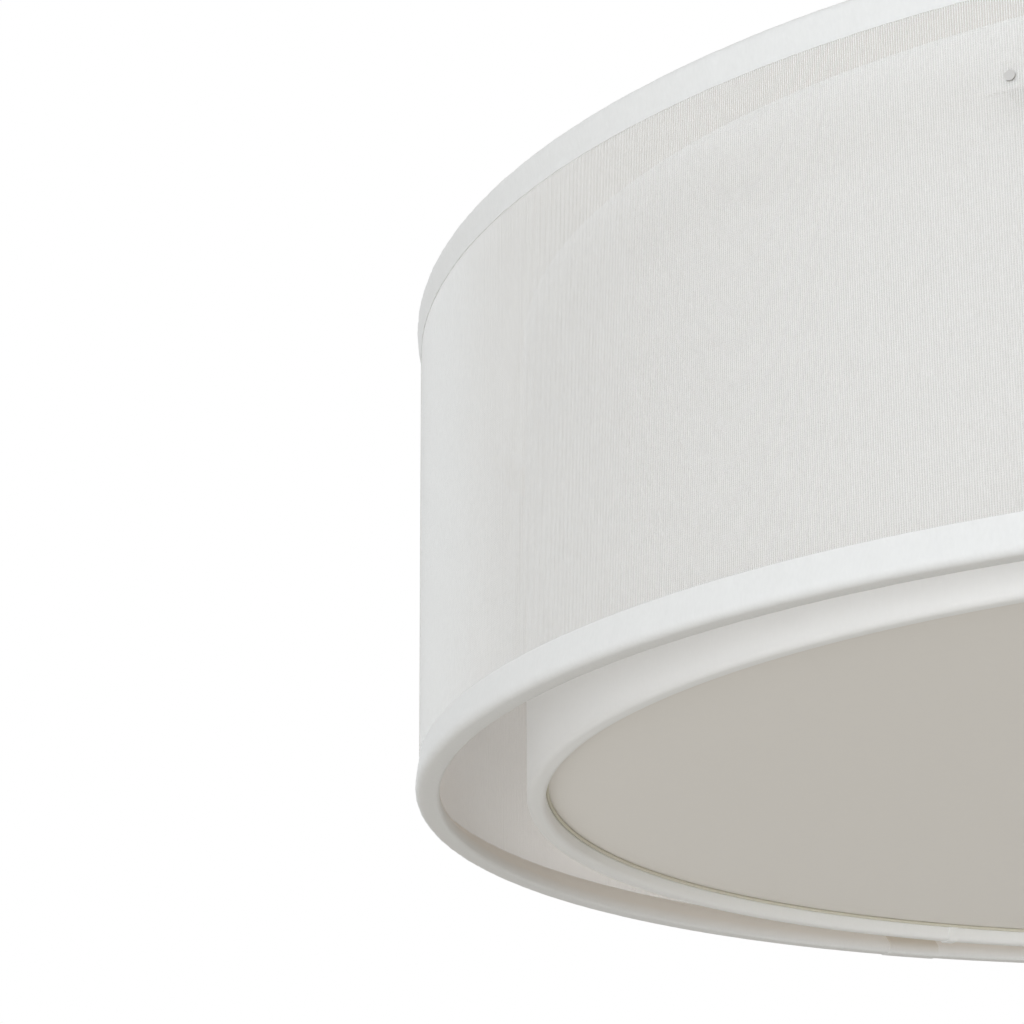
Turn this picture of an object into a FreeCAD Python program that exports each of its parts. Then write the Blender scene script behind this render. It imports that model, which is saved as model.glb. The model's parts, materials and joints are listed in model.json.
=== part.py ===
import FreeCAD, Part
import math
import os

from FreeCAD import Vector

# Pendant light with two drum shades, one inside the other, on a jointed stem.
# The outer drum is sheer cloth with a taped hem round each of its two wire rings,
# the inner drum is lined cloth rolled round two more, and a white disc lies on
# the inner drum's lower roll.
# Units are millimetres. The origin is on the ceiling, on the lamp's axis,
# with +Z up and the front of the lamp towards -Y.

# Shades
outer_shade_d = 610.0
shade_gap = 34.0
shade_height = 155.5
hem_height = 10.4
hem_tape_t = 0.45
fold_arc_angle = 22.5
layer_gap = 0.05
sheer_t = 0.6
ring_wire_d = 4.4
wire_gap = 0.3
cloth_t = 0.45
liner_t = 0.5
roll_turn = 270.0
disc_t = 3.0
disc_edge_gap = 0.3

# Arms that carry the shades
arm_count = 3
first_arm_angle = 255.5
arm_w = 12.0
arm_t = 2.0
arm_roll_gap = 1.5
spider_eye_d = 34.0
wall_seat_gap = 0.1
tab_end_margin = 8.0

# Brackets that hold the outer shade off the inner one
spacer_drop = 29.5
spacer_w = 14.0
spacer_t = 1.5
screw_flange_h = 13.0
rivet_flange_h = 6.5
shade_screw_d = 4.0
shade_screw_head_d = 7.0
shade_screw_head_t = 2.5
shade_nut_af = 7.0
shade_nut_t = 3.0
thread_tail = 1.0
rivet_d = 1.6
rivet_head_d = 2.8
rivet_head_t = 0.6
hole_clearance = 0.15

# Ceiling plate
plate_t = 2.0
plate_bar_w = 18.0
plate_wire_hole_d = 18.0
slot_spacing = 79.4
slot_w = 4.6
slot_length = 14.1
slot_end_margin = 5.2
ground_screw_d = 4.0
ground_screw_head_d = 8.0
ground_screw_head_t = 3.0
ground_screw_margin = 9.0

# Canopy
canopy_side_gap = 11.8
canopy_depth = 26.0
canopy_wall = 1.2
canopy_corner_r = 12.0
stud_d = 4.0
stud_end_margin = 8.0
stud_nut_af = 7.0
stud_nut_t = 3.2
cap_nut_d = 11.0
cap_nut_body_h = 6.0
cap_nut_bore_depth = 7.0
stud_bottom_gap = 1.0

# Swivel that lets the stem hang plumb
ball_d = 30.0
ball_gap = 0.3
ball_bore_d = 8.0
socket_wall = 2.7
socket_thread_d = 16.0
socket_thread_tail = 3.0
socket_locknut_af = 24.0
socket_locknut_t = 5.0
socket_split_drop = 3.0
swivel_ring_lip = 6.0
swivel_ring_bevel = 2.0
pin_d = 3.0
pin_running_gap = 0.03
pin_end_gap = 0.3
pin_slot_depth = 4.0
pin_slot_side_gap = 0.1
pin_slot_half_angle = 31.0
ball_neck_d = 10.4
ball_neck_length = 1.5
ball_shoulder_t = 3.0

# Stem
stem_d = 12.7
stem_wall = 1.2
upper_stem_length = 150.0
lower_stem_length = 150.0
thread_gap = 0.1
thread_length = 10.0
wire_way_d = 7.2
coupler_ring_d = 15.4
coupler_ring_h = 8.0
coupler_bevel = 1.2
collar_d = 24.0
collar_t = 5.0
collar_bevel = 1.5

# Lamp cluster
hub_d = 48.0
hub_height = 62.0
hub_wall = 1.6
hub_corner_r = 6.0
hub_nut_af = 17.0
hub_nut_t = 4.0
hub_cap_t = 5.0
hub_cap_spigot_h = 6.0
hub_cap_corner_r = 4.0
lamp_axis_rise = 16.0
lamp_neck_length = 14.0
lamp_nut_af = 15.0
lamp_nut_t = 3.0
holder_d = 38.0
holder_length = 46.0
holder_back_t = 12.0
holder_lip_d = 41.0
holder_lip_t = 5.0
shell_d = 27.9
shell_t = 0.5
shell_floor_gap = 4.0
shell_mouth_gap = 2.0
contact_d = 10.0
contact_t = 2.0

# Bulbs
bulb_d = 60.0
bulb_length = 84.0
bulb_neck_length = 6.0
bulb_glass_t = 1.0
bulb_running_gap = 0.35
bulb_cap_floor_gap = 6.0
bulb_tip_d = 9.0
bulb_tip_gap = 0.3

# Roll of cloth round the inner shade's rings
inner_roll_t = ring_wire_d + 2 * wire_gap + 2 * cloth_t
inner_roll_r = inner_roll_t / 2

# Heights, worked down from the ceiling
canopy_base_z = -canopy_depth
canopy_floor_z = canopy_base_z + canopy_wall
ball_r = ball_d / 2
ball_seat_r = ball_r + ball_gap
socket_r = ball_seat_r + socket_wall
ball_z = canopy_base_z - socket_r
ring_drop = ball_r - swivel_ring_lip
shoulder_z = ball_z - ball_r - ball_neck_length
upper_stem_top_z = shoulder_z - ball_shoulder_t
coupler_top_z = upper_stem_top_z - upper_stem_length
lower_stem_top_z = coupler_top_z - coupler_ring_h
stem_foot_z = lower_stem_top_z - lower_stem_length
spider_top_z = stem_foot_z - collar_t
hub_top_z = spider_top_z - arm_t
hub_base_z = hub_top_z - hub_height
lamp_axis_z = hub_base_z + lamp_axis_rise
shade_top_z = spider_top_z + arm_roll_gap + inner_roll_t
shade_base_z = shade_top_z - shade_height

# Radii of the outer shade's layers, from its face inwards
outer_face_r = outer_shade_d / 2
wire_r = ring_wire_d / 2
sheer_outer_r = outer_face_r - hem_tape_t - layer_gap
sheer_inner_r = sheer_outer_r - sheer_t
wire_centre_r = sheer_inner_r - wire_gap - wire_r
outer_hem_inner_r = wire_centre_r - wire_r - wire_gap - hem_tape_t
outer_hem_half_t = (outer_face_r - outer_hem_inner_r) / 2

# Radii of the inner shade's layers, from its face inwards
inner_face_r = outer_face_r - shade_gap
inner_ring_r = inner_face_r - inner_roll_r
liner_outer_r = inner_face_r - cloth_t - layer_gap
liner_inner_r = liner_outer_r - liner_t

# Stem and thread radii
stem_r = stem_d / 2
stem_bore_r = stem_r - stem_wall
stem_thread_r = stem_bore_r - thread_gap
wire_way_r = wire_way_d / 2
thread_hole_r = stem_thread_r + hole_clearance

# Ceiling plate and canopy radii
plate_half_length = slot_spacing / 2 + slot_length / 2 + slot_end_margin
stud_r = stud_d / 2
stud_y = plate_half_length - stud_end_margin
canopy_r = plate_half_length + canopy_side_gap + canopy_wall

# Arm positions, and where the brackets are fixed to the two walls
arm_angles = [first_arm_angle + 360.0 / arm_count * n for n in range(arm_count)]
spacer_web_z = shade_top_z - spacer_drop
shade_screw_z = spacer_web_z + spacer_t / 2 + screw_flange_h / 2
rivet_z = spacer_web_z - spacer_t / 2 - rivet_flange_h / 2
tab_outer_x = math.sqrt(liner_inner_r ** 2 - (arm_w / 2) ** 2) - wall_seat_gap
tab_inner_x = tab_outer_x - arm_t
spacer_inner_x = inner_face_r + wall_seat_gap
spacer_outer_x = math.sqrt(sheer_inner_r ** 2 - (spacer_w / 2) ** 2) - wall_seat_gap

# Lamp positions along one arm
hub_r = hub_d / 2
holder_x = hub_r + lamp_neck_length
holder_mouth_x = holder_x + holder_length
holder_floor_x = holder_x + holder_back_t
shell_r = shell_d / 2
bulb_cap_r = shell_r - shell_t - bulb_running_gap


def cylinder(radius, z_low, z_high):
    return Part.makeCylinder(radius, z_high - z_low, Vector(0, 0, z_low))


def tube(outer_r, inner_r, z_low, z_high):
    return cylinder(outer_r, z_low, z_high).cut(cylinder(inner_r, z_low, z_high))


def block(x, y, z):
    """Box between the low and high ends given for each axis."""
    size = [high - low for low, high in (x, y, z)]
    return Part.makeBox(*size, Vector(x[0], y[0], z[0]))


def lamp_cylinder(radius, x_low, x_high):
    """Cylinder on the lamp axis of the arm that points along +X."""
    return Part.makeCylinder(radius, x_high - x_low, Vector(x_low, 0, lamp_axis_z), Vector(1, 0, 0))


def radial_cylinder(radius, x_low, x_high, z):
    return Part.makeCylinder(radius, x_high - x_low, Vector(x_low, 0, z), Vector(1, 0, 0))


def outline_face(place, start, steps):
    """Closed face from a start point and steps; a pair of points is an arc through the first."""
    edges = []
    here = start
    for step in list(steps) + [start]:
        if isinstance(step[0], tuple):
            via, there = step
            edges.append(Part.Arc(place(here), place(via), place(there)).toShape())
        else:
            there = step
            edges.append(Part.LineSegment(place(here), place(there)).toShape())
        here = there
    return Part.Face(Part.Wire(edges))


def turned(start, *steps):
    """Solid turned about the lamp's vertical axis from an outline in (radius, z)."""
    face = outline_face(lambda p: Vector(p[0], 0, p[1]), start, steps)
    return face.revolve(Vector(0, 0, 0), Vector(0, 0, 1), 360)


def on_circle(centre, radius, angle):
    turn = math.radians(angle)
    return (centre[0] + radius * math.cos(turn), centre[1] + radius * math.sin(turn))


def fold(centre, radius, start, turn):
    """Round a fold in short arcs, because a long arc this far from the axis meshes badly."""
    count = round(abs(turn) / fold_arc_angle)
    step = turn / count
    arcs = []
    for n in range(count):
        middle = on_circle(centre, radius, start + step * (n + 0.5))
        end = on_circle(centre, radius, start + step * (n + 1))
        arcs.append((middle, end))
    return arcs


def hex_nut(across_flats, bore_r, z_low, z_high):
    corner_r = across_flats / math.sqrt(3)
    corners = [Vector(*on_circle((0, 0), corner_r, 60 * n), z_low) for n in range(7)]
    prism = Part.Face(Part.makePolygon(corners)).extrude(Vector(0, 0, z_high - z_low))
    return prism.cut(cylinder(bore_r, z_low, z_high))


def radial_nut(across_flats, bore_r, x_low, x_high, z):
    nut = hex_nut(across_flats, bore_r, x_low, x_high)
    nut.rotate(Vector(0, 0, 0), Vector(0, 1, 0), 90)
    nut.translate(Vector(0, 0, z))
    return nut


def at_angle(shape, angle):
    copy = shape.copy()
    copy.rotate(Vector(0, 0, 0), Vector(0, 0, 1), angle)
    return copy


def on_each_arm(shape):
    return [at_angle(shape, angle) for angle in arm_angles]


def on_both_sides(shape):
    return [shape, at_angle(shape, 180)]


def joined(first, *others):
    return first.fuse(list(others)).removeSplitter()


def mounting_plate():
    bar_x = block((-plate_half_length, plate_half_length), (-plate_bar_w / 2, plate_bar_w / 2), (-plate_t, 0))
    plate = joined(bar_x, at_angle(bar_x, 90))
    slot_r = slot_w / 2
    slot_reach = slot_length / 2 - slot_r
    slot = block((-slot_reach, slot_reach), (-slot_r, slot_r), (-plate_t, 0))
    for side in (-slot_reach, slot_reach):
        end = cylinder(slot_r, -plate_t, 0)
        end.translate(Vector(side, 0, 0))
        slot = slot.fuse(end)
    slot.translate(Vector(slot_spacing / 2, 0, 0))
    stud_hole = cylinder(stud_r + thread_gap, -plate_t, 0)
    stud_hole.translate(Vector(0, stud_y, 0))
    ground_hole = cylinder(ground_screw_d / 2 + thread_gap, -plate_t, 0)
    ground_hole.translate(Vector(ground_screw_x(), 0, 0))
    wire_hole = cylinder(plate_wire_hole_d / 2, -plate_t, 0)
    return plate.cut(on_both_sides(slot) + on_both_sides(stud_hole) + [ground_hole, wire_hole])


def ground_screw_x():
    return plate_wire_hole_d / 2 + ground_screw_margin


def ground_screw():
    head = cylinder(ground_screw_head_d / 2, -plate_t - ground_screw_head_t, -plate_t)
    screw = joined(head, cylinder(ground_screw_d / 2, -plate_t, 0))
    screw.translate(Vector(ground_screw_x(), 0, 0))
    return screw


def canopy():
    corner = canopy_r - canopy_corner_r
    corner_z = canopy_base_z + canopy_corner_r
    centre = (corner, corner_z)
    hole_r = socket_thread_d / 2 + hole_clearance
    shell = turned(
        (canopy_r, 0),
        (canopy_r, corner_z),
        (on_circle(centre, canopy_corner_r, -45), (corner, canopy_base_z)),
        (hole_r, canopy_base_z),
        (hole_r, canopy_floor_z),
        (corner, canopy_floor_z),
        (on_circle(centre, canopy_corner_r - canopy_wall, -45), (canopy_r - canopy_wall, corner_z)),
        (canopy_r - canopy_wall, 0),
    )
    stud_hole = cylinder(stud_r + hole_clearance, canopy_base_z, canopy_floor_z)
    stud_hole.translate(Vector(0, stud_y, 0))
    return shell.cut(on_both_sides(stud_hole))


def stud_end_z():
    return canopy_base_z - cap_nut_bore_depth + stud_bottom_gap


def canopy_studs():
    stud = cylinder(stud_r, stud_end_z(), 0)
    stud.translate(Vector(0, stud_y, 0))
    return on_both_sides(stud)


def stud_nuts():
    nut = hex_nut(stud_nut_af, stud_r + thread_gap, -plate_t - stud_nut_t, -plate_t)
    nut.translate(Vector(0, stud_y, 0))
    return on_both_sides(nut)


def cap_nuts():
    radius = cap_nut_d / 2
    body_z = canopy_base_z - cap_nut_body_h
    nut = turned(
        (0, canopy_base_z),
        (radius, canopy_base_z),
        (radius, body_z),
        (on_circle((0, body_z), radius, -45), (0, body_z - radius)),
    )
    bore = cylinder(stud_r + thread_gap, canopy_base_z - cap_nut_bore_depth, canopy_base_z)
    nut = nut.cut(bore)
    nut.translate(Vector(0, stud_y, 0))
    return on_both_sides(nut)


def ball_at(radius):
    return Part.makeSphere(radius, Vector(0, 0, ball_z))


def swivel_socket():
    thread_top = canopy_floor_z + socket_locknut_t + socket_thread_tail
    body = joined(
        cylinder(socket_r, ball_z - socket_split_drop, canopy_base_z),
        cylinder(socket_thread_d / 2, canopy_base_z, thread_top),
    )
    wire_way = cylinder(ball_bore_d / 2, ball_z, thread_top)
    pin_hole = radial_cylinder(pin_d / 2 + pin_running_gap, -socket_r, socket_r, ball_z)
    return body.cut([ball_at(ball_seat_r), wire_way, pin_hole])


def swivel_ring():
    base_z = ball_z - ring_drop
    ring = turned(
        (0, ball_z - socket_split_drop),
        (socket_r, ball_z - socket_split_drop),
        (socket_r, base_z + swivel_ring_bevel),
        (socket_r - swivel_ring_bevel, base_z),
        (0, base_z),
    )
    return ring.cut(ball_at(ball_seat_r))


def swivel_locknut():
    return hex_nut(
        socket_locknut_af, socket_thread_d / 2 + thread_gap, canopy_floor_z, canopy_floor_z + socket_locknut_t
    )


def swivel_pins():
    inner_x = ball_r - pin_slot_depth + pin_end_gap
    return on_both_sides(radial_cylinder(pin_d / 2, inner_x, socket_r, ball_z))


def swivel_ball():
    thread_end_z = upper_stem_top_z - thread_length
    body = joined(
        ball_at(ball_r),
        cylinder(ball_neck_d / 2, shoulder_z, ball_z),
        cylinder(stem_r, upper_stem_top_z, shoulder_z),
        cylinder(stem_thread_r, thread_end_z, upper_stem_top_z),
    )
    wire_way = cylinder(ball_bore_d / 2, ball_z, ball_z + ball_r)
    lower_way = cylinder(wire_way_r, thread_end_z, ball_z)
    slot_half_w = pin_d / 2 + pin_slot_side_gap
    slot_x = (ball_r - pin_slot_depth, ball_r + ball_gap)
    corners = [
        Vector(slot_x[0], -slot_half_w, ball_z),
        Vector(slot_x[1], -slot_half_w, ball_z),
        Vector(slot_x[1], slot_half_w, ball_z),
        Vector(slot_x[0], slot_half_w, ball_z),
    ]
    opening = Part.Face(Part.makePolygon(corners + corners[:1]))
    centre = Vector(0, 0, ball_z)
    opening.rotate(centre, Vector(0, 1, 0), -pin_slot_half_angle)
    slot = opening.revolve(centre, Vector(0, 1, 0), 2 * pin_slot_half_angle)
    return body.cut([wire_way, lower_way] + on_both_sides(slot))


def stem_tube(top_z, length):
    return tube(stem_r, stem_bore_r, top_z - length, top_z)


def stem_coupler():
    radius = coupler_ring_d / 2
    ring = turned(
        (wire_way_r, coupler_top_z),
        (radius - coupler_bevel, coupler_top_z),
        (radius, coupler_top_z - coupler_bevel),
        (radius, lower_stem_top_z + coupler_bevel),
        (radius - coupler_bevel, lower_stem_top_z),
        (wire_way_r, lower_stem_top_z),
    )
    upper_thread = tube(stem_thread_r, wire_way_r, coupler_top_z, coupler_top_z + thread_length)
    lower_thread = tube(stem_thread_r, wire_way_r, lower_stem_top_z - thread_length, lower_stem_top_z)
    return joined(ring, upper_thread, lower_thread)


def hub_nipple():
    low_z = hub_top_z - hub_wall - hub_nut_t - thread_tail
    return tube(stem_thread_r, wire_way_r, low_z, stem_foot_z + thread_length)


def stem_collar():
    radius = collar_d / 2
    return turned(
        (thread_hole_r, stem_foot_z),
        (radius - collar_bevel, stem_foot_z),
        (radius, stem_foot_z - collar_bevel),
        (radius, spider_top_z),
        (thread_hole_r, spider_top_z),
    )


def shade_spider():
    arm = block((0, tab_outer_x), (-arm_w / 2, arm_w / 2), (hub_top_z, spider_top_z))
    tab_low_z = shade_screw_z - tab_end_margin
    tab = block((tab_inner_x, tab_outer_x), (-arm_w / 2, arm_w / 2), (tab_low_z, spider_top_z))
    screw_hole = radial_cylinder(shade_screw_d / 2 + hole_clearance, tab_inner_x, tab_outer_x, shade_screw_z)
    arms = on_each_arm(arm) + on_each_arm(tab)
    spider = joined(cylinder(spider_eye_d / 2, hub_top_z, spider_top_z), *arms)
    return spider.cut(on_each_arm(screw_hole) + [cylinder(thread_hole_r, hub_top_z, spider_top_z)])


def shade_screws():
    head = radial_cylinder(shade_screw_head_d / 2, tab_inner_x - shade_screw_head_t, tab_inner_x, shade_screw_z)
    end_x = spacer_inner_x + spacer_t + shade_nut_t + thread_tail
    shank = radial_cylinder(shade_screw_d / 2, tab_inner_x, end_x, shade_screw_z)
    return on_each_arm(joined(head, shank))


def shade_nuts():
    seat_x = spacer_inner_x + spacer_t
    bore_r = shade_screw_d / 2 + thread_gap
    return on_each_arm(radial_nut(shade_nut_af, bore_r, seat_x, seat_x + shade_nut_t, shade_screw_z))


def shade_spacers():
    across = (-spacer_w / 2, spacer_w / 2)
    web_z = (spacer_web_z - spacer_t / 2, spacer_web_z + spacer_t / 2)
    web = block((spacer_inner_x, spacer_outer_x), across, web_z)
    inner_x = (spacer_inner_x, spacer_inner_x + spacer_t)
    inner_flange = block(inner_x, across, (web_z[0], web_z[1] + screw_flange_h))
    outer_x = (spacer_outer_x - spacer_t, spacer_outer_x)
    outer_flange = block(outer_x, across, (web_z[0] - rivet_flange_h, web_z[1]))
    screw_hole = radial_cylinder(shade_screw_d / 2 + hole_clearance, *inner_x, shade_screw_z)
    rivet_hole = radial_cylinder(rivet_d / 2 + hole_clearance, *outer_x, rivet_z)
    bracket = joined(web, inner_flange, outer_flange).cut([screw_hole, rivet_hole])
    return on_each_arm(bracket)


def spacer_rivets():
    shank_x = (spacer_outer_x - spacer_t, sheer_outer_r)
    inner_head = radial_cylinder(rivet_head_d / 2, shank_x[0] - rivet_head_t, shank_x[0], rivet_z)
    shank = radial_cylinder(rivet_d / 2, *shank_x, rivet_z)
    outer_head = radial_cylinder(rivet_head_d / 2, shank_x[1], shank_x[1] + rivet_head_t, rivet_z)
    return on_each_arm(joined(inner_head, shank, outer_head))


def outer_hem(edge_z, inward):
    """Tape folded round the outer shade's edge; inward is +1 for a lower edge and -1 for an upper one."""
    centre = (outer_face_r - outer_hem_half_t, edge_z + inward * outer_hem_half_t)
    leg_z = edge_z + inward * hem_height
    return turned(
        (outer_face_r, leg_z),
        (outer_face_r, centre[1]),
        *fold(centre, outer_hem_half_t, 0, -inward * 180),
        (outer_hem_inner_r, leg_z),
        (outer_hem_inner_r + hem_tape_t, leg_z),
        (outer_hem_inner_r + hem_tape_t, centre[1]),
        *fold(centre, outer_hem_half_t - hem_tape_t, 180, inward * 180),
        (outer_face_r - hem_tape_t, leg_z),
    )


def outer_cloth():
    wall = tube(sheer_outer_r, sheer_inner_r, shade_base_z + outer_hem_half_t, shade_top_z - outer_hem_half_t)
    hole = radial_cylinder(rivet_d / 2 + hole_clearance, spacer_outer_x, outer_face_r, rivet_z)
    return wall.cut(on_each_arm(hole))


def outer_ring(edge_z, inward):
    return Part.makeTorus(wire_centre_r, wire_r, Vector(0, 0, edge_z + inward * outer_hem_half_t))


def shade_screw_holes():
    hole = radial_cylinder(shade_screw_d / 2 + hole_clearance, tab_inner_x, spacer_inner_x, shade_screw_z)
    return on_each_arm(hole)


def inner_cloth():
    """One sheet: the wall, and at each edge a roll round the ring."""
    low = (inner_ring_r, shade_base_z + inner_roll_r)
    high = (inner_ring_r, shade_top_z - inner_roll_r)
    inside_r = inner_roll_r - cloth_t
    sheet = turned(
        on_circle(high, inner_roll_r, roll_turn),
        *fold(high, inner_roll_r, roll_turn, -roll_turn),
        (inner_face_r, low[1]),
        *fold(low, inner_roll_r, 0, -roll_turn),
        on_circle(low, inside_r, -roll_turn),
        *fold(low, inside_r, -roll_turn, roll_turn),
        (inner_face_r - cloth_t, high[1]),
        *fold(high, inside_r, 0, roll_turn),
    )
    return sheet.cut(shade_screw_holes())


def inner_liner():
    wall = tube(liner_outer_r, liner_inner_r, shade_base_z + inner_roll_t, shade_top_z - inner_roll_t)
    return wall.cut(shade_screw_holes())


def inner_ring(edge_z, inward):
    return Part.makeTorus(inner_ring_r, wire_r, Vector(0, 0, edge_z + inward * inner_roll_r))


def diffuser():
    seat_z = shade_base_z + inner_roll_t
    return cylinder(liner_inner_r - disc_edge_gap, seat_z, seat_z + disc_t)


def socket_hub():
    corner = hub_r - hub_corner_r
    corner_z = hub_top_z - hub_corner_r
    centre = (corner, corner_z)
    cup = turned(
        (thread_hole_r, hub_top_z),
        (corner, hub_top_z),
        (on_circle(centre, hub_corner_r, 45), (hub_r, corner_z)),
        (hub_r, hub_base_z),
        (hub_r - hub_wall, hub_base_z),
        (hub_r - hub_wall, corner_z),
        (on_circle(centre, hub_corner_r - hub_wall, 45), (corner, hub_top_z - hub_wall)),
        (thread_hole_r, hub_top_z - hub_wall),
    )
    return cup.cut(on_each_arm(lamp_cylinder(thread_hole_r, 0, hub_r)))


def hub_locknut():
    top_z = hub_top_z - hub_wall
    return hex_nut(hub_nut_af, stem_thread_r + thread_gap, top_z - hub_nut_t, top_z)


def hub_cap():
    base_z = hub_base_z - hub_cap_t
    corner = (hub_r - hub_cap_corner_r, base_z + hub_cap_corner_r)
    plug_r = hub_r - hub_wall - thread_gap
    return turned(
        (0, base_z),
        (corner[0], base_z),
        (on_circle(corner, hub_cap_corner_r, -45), (hub_r, corner[1])),
        (hub_r, hub_base_z),
        (plug_r, hub_base_z),
        (plug_r, hub_base_z + hub_cap_spigot_h),
        (0, hub_base_z + hub_cap_spigot_h),
    )


def lamp_nut_x():
    """Where the nut's outer face meets the hub's round inner wall."""
    corner_r = lamp_nut_af / math.sqrt(3)
    return math.sqrt((hub_r - hub_wall) ** 2 - corner_r ** 2) - wall_seat_gap


def lamp_nipples():
    start_x = lamp_nut_x() - lamp_nut_t - thread_tail
    end_x = holder_x + holder_back_t - contact_t
    pipe = lamp_cylinder(stem_thread_r, start_x, end_x).cut(lamp_cylinder(wire_way_r, start_x, end_x))
    return on_each_arm(pipe)


def lamp_nuts():
    seat_x = lamp_nut_x()
    bore_r = stem_thread_r + thread_gap
    return on_each_arm(radial_nut(lamp_nut_af, bore_r, seat_x - lamp_nut_t, seat_x, lamp_axis_z))


def lampholder():
    body = joined(
        lamp_cylinder(holder_d / 2, holder_x, holder_mouth_x),
        lamp_cylinder(holder_lip_d / 2, holder_mouth_x - holder_lip_t, holder_mouth_x),
    )
    cavity = lamp_cylinder(shell_r + layer_gap, holder_floor_x, holder_mouth_x)
    pipe_hole = lamp_cylinder(thread_hole_r, holder_x, holder_floor_x)
    return body.cut([cavity, pipe_hole])


def screw_shell():
    ends = (holder_floor_x + shell_floor_gap, holder_mouth_x - shell_mouth_gap)
    return lamp_cylinder(shell_r, *ends).cut(lamp_cylinder(shell_r - shell_t, *ends))


def lamp_contacts():
    disc = lamp_cylinder(contact_d / 2, holder_floor_x - contact_t, holder_floor_x)
    return on_each_arm(disc)


def bulb_cap():
    start_x = holder_floor_x + bulb_cap_floor_gap
    barrel = lamp_cylinder(bulb_cap_r, start_x, holder_mouth_x)
    tip = lamp_cylinder(bulb_tip_d / 2, holder_floor_x + bulb_tip_gap, start_x)
    return joined(barrel, tip)


def bulb_form(inset):
    """Pear shape: a round end with straight sides drawn in to the neck."""
    round_r = bulb_d / 2 - inset
    neck_r = bulb_cap_r - inset
    centre_x = holder_mouth_x + bulb_length - bulb_d / 2
    neck_x = holder_mouth_x + bulb_neck_length
    reach = math.hypot(centre_x - neck_x, neck_r)
    slope = math.asin(round_r / reach) - math.atan2(neck_r, centre_x - neck_x)
    side = math.sqrt(reach ** 2 - round_r ** 2)
    touch = (neck_x + side * math.cos(slope), neck_r + side * math.sin(slope))
    face = outline_face(
        lambda p: Vector(p[0], 0, lamp_axis_z + p[1]),
        (holder_mouth_x, 0),
        [
            (holder_mouth_x, neck_r),
            (neck_x, neck_r),
            touch,
            (on_circle((centre_x, 0), round_r, 45), (centre_x + round_r, 0)),
        ],
    )
    return face.revolve(Vector(0, 0, lamp_axis_z), Vector(1, 0, 0), 360)


def bulb_globe():
    return bulb_form(0).cut(bulb_form(bulb_glass_t))


def save(name, pieces):
    shape = Part.makeCompound(pieces) if isinstance(pieces, list) else pieces
    shape.exportStep(f"parts/{name}.step")


def main():
    os.makedirs("parts", exist_ok=True)
    save("mounting_plate", mounting_plate())
    save("ground_screw", ground_screw())
    save("canopy", canopy())
    save("canopy_studs", canopy_studs())
    save("stud_nuts", stud_nuts())
    save("cap_nuts", cap_nuts())
    save("swivel_socket", swivel_socket())
    save("swivel_ring", swivel_ring())
    save("swivel_locknut", swivel_locknut())
    save("swivel_pins", swivel_pins())
    save("swivel_ball", swivel_ball())
    save("upper_stem", stem_tube(upper_stem_top_z, upper_stem_length))
    save("stem_coupler", stem_coupler())
    save("lower_stem", stem_tube(lower_stem_top_z, lower_stem_length))
    save("hub_nipple", hub_nipple())
    save("stem_collar", stem_collar())
    save("shade_spider", shade_spider())
    save("shade_screws", shade_screws())
    save("shade_nuts", shade_nuts())
    save("shade_spacers", shade_spacers())
    save("spacer_rivets", spacer_rivets())
    save("outer_cloth", outer_cloth())
    save("inner_cloth", inner_cloth())
    save("inner_liner", inner_liner())
    for place, edge_z, inward in (("top", shade_top_z, -1), ("bottom", shade_base_z, 1)):
        save(f"outer_{place}_ring", outer_ring(edge_z, inward))
        save(f"outer_{place}_hem", outer_hem(edge_z, inward))
        save(f"inner_{place}_ring", inner_ring(edge_z, inward))
    save("diffuser", diffuser())
    save("socket_hub", socket_hub())
    save("hub_locknut", hub_locknut())
    save("hub_cap", hub_cap())
    save("lamp_nipples", lamp_nipples())
    save("lamp_nuts", lamp_nuts())
    save("lamp_contacts", lamp_contacts())
    for number, angle in enumerate(arm_angles, start=1):
        save(f"lampholder_{number}", at_angle(lampholder(), angle))
        save(f"screw_shell_{number}", at_angle(screw_shell(), angle))
        save(f"bulb_cap_{number}", at_angle(bulb_cap(), angle))
        save(f"bulb_globe_{number}", at_angle(bulb_globe(), angle))


main()
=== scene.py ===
# %% [markdown]
# # A pendant light with two drum shades
#
# A sheer white drum hangs round a lined white drum, and a flat opal disc closes the inner drum from below.
# Above them are a jointed stem, a ball swivel and a ceiling canopy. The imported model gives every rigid
# piece its place and size. Here the cloth is modelled, and every piece gets its finish.

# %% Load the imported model
import json
import math

import bpy
from mathutils import Matrix, Vector


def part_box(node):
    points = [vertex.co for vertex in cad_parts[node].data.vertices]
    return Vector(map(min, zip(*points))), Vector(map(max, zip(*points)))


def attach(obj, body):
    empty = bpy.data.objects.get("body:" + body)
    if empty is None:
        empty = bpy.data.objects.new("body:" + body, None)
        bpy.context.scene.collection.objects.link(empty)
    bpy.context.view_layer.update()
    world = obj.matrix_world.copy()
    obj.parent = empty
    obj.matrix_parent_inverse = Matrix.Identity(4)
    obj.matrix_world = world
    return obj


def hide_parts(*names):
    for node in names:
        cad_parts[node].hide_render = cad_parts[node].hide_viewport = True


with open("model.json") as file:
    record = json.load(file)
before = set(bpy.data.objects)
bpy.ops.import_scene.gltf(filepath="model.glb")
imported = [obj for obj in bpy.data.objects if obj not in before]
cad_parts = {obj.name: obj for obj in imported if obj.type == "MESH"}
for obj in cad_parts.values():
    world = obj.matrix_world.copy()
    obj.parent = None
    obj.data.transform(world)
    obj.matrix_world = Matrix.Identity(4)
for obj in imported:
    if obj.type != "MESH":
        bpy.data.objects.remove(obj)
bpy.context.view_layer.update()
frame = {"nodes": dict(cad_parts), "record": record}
scene = bpy.context.scene
scene.view_settings.view_transform = "Standard"

# %% [markdown]
# ## Sizes read from the frame
#
# The drums share one axis, the Z axis, so a piece of cloth is known by its radius and its two edges. The
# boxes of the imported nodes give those, and no number is copied from the CAD script.


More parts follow.
